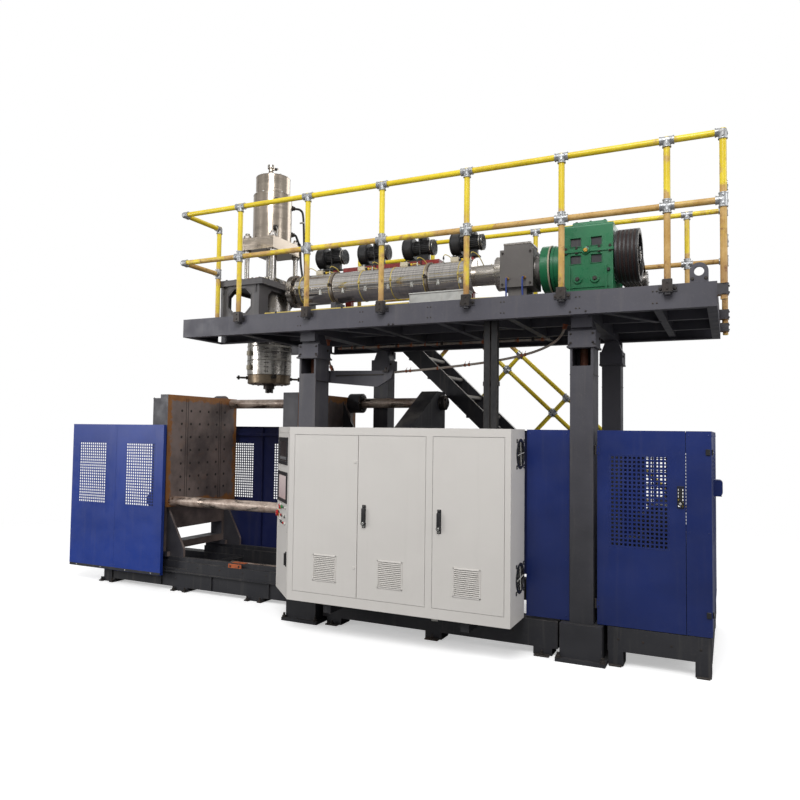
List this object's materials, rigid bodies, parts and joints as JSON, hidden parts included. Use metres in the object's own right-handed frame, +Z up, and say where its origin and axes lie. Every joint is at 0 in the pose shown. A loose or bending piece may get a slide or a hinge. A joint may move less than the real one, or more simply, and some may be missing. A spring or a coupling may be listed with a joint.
{
  "type": "blow moulding machine",
  "caption": "Extrusion blow moulding machine: sliding mould clamp on a floor bed, control cabinet, columns, and a raised platform with extruder, accumulator head and stair.",
  "frame": {"origin": "middle of the machine's footprint on the floor; the extruder, die and mould share the line y = 0", "axes": "+X along the machine from the mould clamp to the drive end, -Y the operator's side, +Z up"},
  "size_m": [7.006, 2.792, 4.8],
  "materials": {
    "frame_paint": "satin dark grey paint",
    "platform_paint": "satin dark grey paint",
    "guard_paint": "satin blue paint",
    "cabinet_paint": "fine-textured light grey paint",
    "rail_paint": "worn yellow paint",
    "drive_paint": "green machine enamel",
    "beam_paint": "maroon paint",
    "bright_steel": "turned or polished steel",
    "dark_steel": "oiled dark steel",
    "black_plastic": "moulded black",
    "screen": "dark display",
    "red_plastic": "moulded red",
    "black_rubber": "black rubber",
    "hose_rubber": "brown-black hose"
  },
  "bodies": {
    "base": {"column_front_left": "frame_paint", "column_front_right": "frame_paint", "column_rear_left": "frame_paint", "column_rear_right": "frame_paint", "base_frame": "frame_paint", "machine_bed": "frame_paint", "guard_panel_front": "guard_paint", "guard_panels_rear": "guard_paint", "guard_panel_end": "guard_paint", "cabinet_shell": "cabinet_paint", "console_screens": "screen", "hydraulic_unit": "frame_paint"},
    "platform": {"platform_frame": "platform_paint", "deck_plate": "platform_paint", "lift_screws": "dark_steel", "deck_handrail": "rail_paint", "stair": "frame_paint", "stair_handrail": "rail_paint", "head_stool": "frame_paint", "head_body": "bright_steel", "heater_bands": "bright_steel", "die_ring": "dark_steel", "head_tie_rods": "bright_steel", "head_cylinder": "bright_steel", "extruder_barrel": "bright_steel", "barrel_covers": "bright_steel", "barrel_stands": "beam_paint", "feed_housing": "dark_steel", "gearbox": "drive_paint", "drive_belts": "black_rubber", "main_motor": "frame_paint", "cooling_blowers": "black_plastic", "cable_riser": "black_plastic", "hose_clipped": "hose_rubber", "hose_loose": "hose_rubber"},
    "clamp_outer": {"outer_platen": "dark_steel", "tie_bars": "dark_steel", "end_yoke": "frame_paint", "clamp_cylinder": "dark_steel"},
    "clamp_inner": {"inner_platen": "dark_steel", "clamp_rod": "bright_steel"},
    "front_gate": {"safety_gate": "guard_paint"},
    "back_gate": {"rear_gate": "guard_paint"},
    "door_left": {"cabinet_door_left": "cabinet_paint"},
    "door_middle": {"cabinet_door_middle": "cabinet_paint"},
    "door_right": {"cabinet_door_right": "cabinet_paint"},
    "lever_middle": {"door_handle_middle": "black_plastic"},
    "lever_right": {"door_handle_right": "black_plastic"},
    "door_guard": {"guard_door": "guard_paint"},
    "lever_guard": {"guard_handle": "black_plastic"},
    "fan_upper": {"cabinet_fan_upper": "black_plastic"},
    "fan_lower": {"cabinet_fan_lower": "black_plastic"},
    "stop_mushroom": {"emergency_stop": "red_plastic"},
    "start_key": {"start_button": "black_plastic"},
    "stop_key": {"stop_button": "red_plastic"},
    "drive_pulley": {"gearbox_pulley": "black_plastic"},
    "small_pulley": {"motor_pulley": "dark_steel"},
    "screw": {"extruder_screw": "bright_steel"},
    "ram": {"head_ram": "bright_steel"},
    "pin": {"die_pin": "bright_steel"}
  },
  "joints": [
    {"name": "platform_lift", "type": "slide", "parent": "base", "child": "platform", "axis": [0, 0, 1], "range_m": [0, 0.15]},
    {"name": "clamp_close", "type": "slide", "parent": "base", "child": "clamp_outer", "axis": [1, 0, 0], "range_m": [0, 0.42]},
    {"name": "clamp_close_inner", "type": "slide", "parent": "base", "child": "clamp_inner", "axis": [-1, 0, 0], "range_m": [0, 0.42]},
    {"name": "safety_gate_slide", "type": "slide", "parent": "base", "child": "front_gate", "axis": [1, 0, 0], "range_m": [0, 1.6]},
    {"name": "rear_gate_slide", "type": "slide", "parent": "base", "child": "back_gate", "axis": [1, 0, 0], "range_m": [-1, 0.8]},
    {"name": "cabinet_left_hinge", "type": "hinge", "parent": "base", "child": "door_left", "pos_m": [0.055, -1.368, 1], "axis": [0, 0, -1], "range_deg": [0, 110]},
    {"name": "cabinet_middle_hinge", "type": "hinge", "parent": "base", "child": "door_middle", "pos_m": [1.298, -1.368, 1], "axis": [0, 0, 1], "range_deg": [0, 95]},
    {"name": "cabinet_right_hinge", "type": "hinge", "parent": "base", "child": "door_right", "pos_m": [1.95, -1.368, 1], "axis": [0, 0, 1], "range_deg": [0, 110]},
    {"name": "handle_middle_turn", "type": "hinge", "parent": "door_middle", "child": "lever_middle", "pos_m": [0.748, -1.37, 0.997], "axis": [0, 1, 0], "range_deg": [0, 90]},
    {"name": "handle_right_turn", "type": "hinge", "parent": "door_right", "child": "lever_right", "pos_m": [1.42, -1.37, 0.997], "axis": [0, 1, 0], "range_deg": [0, 90]},
    {"name": "guard_door_hinge", "type": "hinge", "parent": "base", "child": "door_guard", "pos_m": [2.551, -0.936, 1], "axis": [0, 0, -1], "range_deg": [0, 100]},
    {"name": "guard_handle_turn", "type": "hinge", "parent": "door_guard", "child": "lever_guard", "pos_m": [3.168, -0.93, 1.252], "axis": [0, 1, 0], "range_deg": [0, 90]},
    {"name": "fan_upper_spin", "type": "hinge", "parent": "base", "child": "fan_upper", "pos_m": [1.949, -1.103, 1.595], "axis": [1, 0, 0], "continuous": true},
    {"name": "fan_lower_spin", "type": "hinge", "parent": "base", "child": "fan_lower", "pos_m": [1.949, -1.103, 0.622], "axis": [1, 0, 0], "continuous": true},
    {"name": "emergency_stop_press", "type": "slide", "parent": "base", "child": "stop_mushroom", "axis": [0.7071, 0.7071, 0], "range_m": [0, 0.004]},
    {"name": "start_press", "type": "slide", "parent": "base", "child": "start_key", "axis": [0.7071, 0.7071, 0], "range_m": [0, 0.004], "stiffness_N_per_m": 400},
    {"name": "stop_press", "type": "slide", "parent": "base", "child": "stop_key", "axis": [0.7071, 0.7071, 0], "range_m": [0, 0.004], "stiffness_N_per_m": 400},
    {"name": "gearbox_pulley_spin", "type": "hinge", "parent": "platform", "child": "drive_pulley", "pos_m": [2.7, -0.1, 3.35], "axis": [1, 0, 0], "continuous": true},
    {"name": "motor_pulley_spin", "type": "hinge", "parent": "platform", "child": "small_pulley", "pos_m": [2.7, 0.505, 3.24], "axis": [1, 0, 0], "continuous": true},
    {"name": "screw_spin", "type": "hinge", "parent": "platform", "child": "screw", "pos_m": [0.4, 0, 3.31], "axis": [1, 0, 0], "continuous": true},
    {"name": "ram_slide", "type": "slide", "parent": "platform", "child": "ram", "axis": [0, 0, 1], "range_m": [0, 0.25]},
    {"name": "pin_slide", "type": "slide", "parent": "platform", "child": "pin", "axis": [0, 0, 1], "range_m": [0, 0.02]}
  ],
  "couplings": [
    {"joint": "clamp_close_inner", "follows": "clamp_close", "ratio": 1},
    {"joint": "motor_pulley_spin", "follows": "gearbox_pulley_spin", "ratio": 2.4737},
    {"joint": "screw_spin", "follows": "gearbox_pulley_spin", "ratio": 0.0833}
  ]
}
